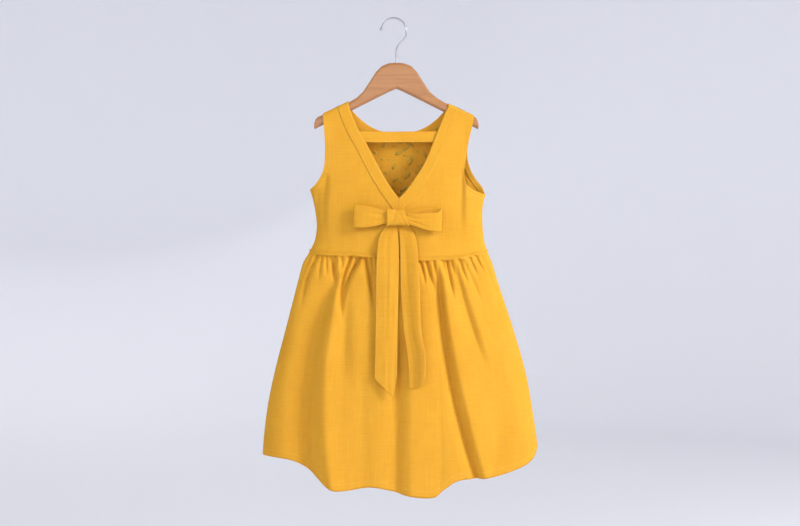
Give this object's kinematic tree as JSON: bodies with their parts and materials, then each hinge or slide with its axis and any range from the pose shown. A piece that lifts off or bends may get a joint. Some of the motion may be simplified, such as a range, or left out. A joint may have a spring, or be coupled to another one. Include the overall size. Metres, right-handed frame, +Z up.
{
  "type": "sundress on a hanger",
  "caption": "Child's sleeveless sundress with a V back, strap, bow with hanging ties and gathered high-low skirt, draped on a contoured wooden hanger with a wire hook.",
  "frame": {"origin": "inside of the hook's bend, at its top, where a rod bears", "axes": "+Z up, +X to the right as the garment's back is seen, -Y out of the garment's back"},
  "size_m": [0.5091, 0.1324, 0.8799],
  "materials": {
    "linen": "matt mustard-yellow linen",
    "beech": "satin varnish",
    "chrome": "polished"
  },
  "bodies": {
    "root": {"bodice_back": "linen", "bodice_front": "linen", "skirt_back": "linen", "skirt_front": "linen", "neck_band_left": "linen", "neck_band_right": "linen", "armhole_facing_back_left": "linen", "armhole_facing_back_right": "linen", "armhole_facing_front_left": "linen", "armhole_facing_front_right": "linen", "back_strap": "linen", "bow_knot": "linen", "bow_loop_left": "linen", "bow_loop_right": "linen", "tie_tail_left": "linen", "tie_tail_right": "linen", "hanger": "beech", "hanger_hook": "chrome"}
  },
  "joints": []
}
